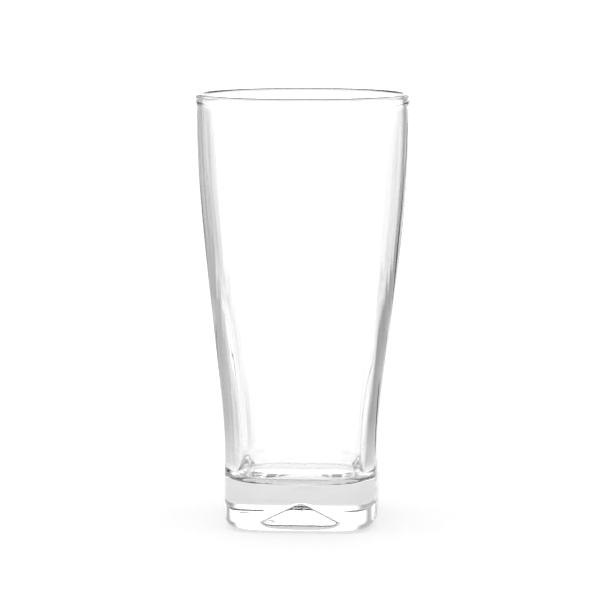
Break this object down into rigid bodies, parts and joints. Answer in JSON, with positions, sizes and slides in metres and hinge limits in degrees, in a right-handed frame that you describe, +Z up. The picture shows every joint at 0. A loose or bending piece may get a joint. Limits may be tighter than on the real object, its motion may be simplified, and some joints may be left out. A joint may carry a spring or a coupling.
{
  "type": "pint glass",
  "caption": "Clear pint glass with a rounded-square foot, a heavy base and a round fire-polished rim, for serving beer or cold drinks.",
  "frame": {"origin": "middle of the flat ring that the glass rests on, on the glass's own axis", "axes": "+Z up along the glass's axis, towards the rim; the flats of the square foot face +X, -X, +Y and -Y"},
  "size_m": [0.084, 0.084, 0.169],
  "materials": {
    "clear_glass": "clear, smooth, fire-polished"
  },
  "bodies": {
    "root": {"glass_body": "clear_glass"}
  },
  "joints": []
}
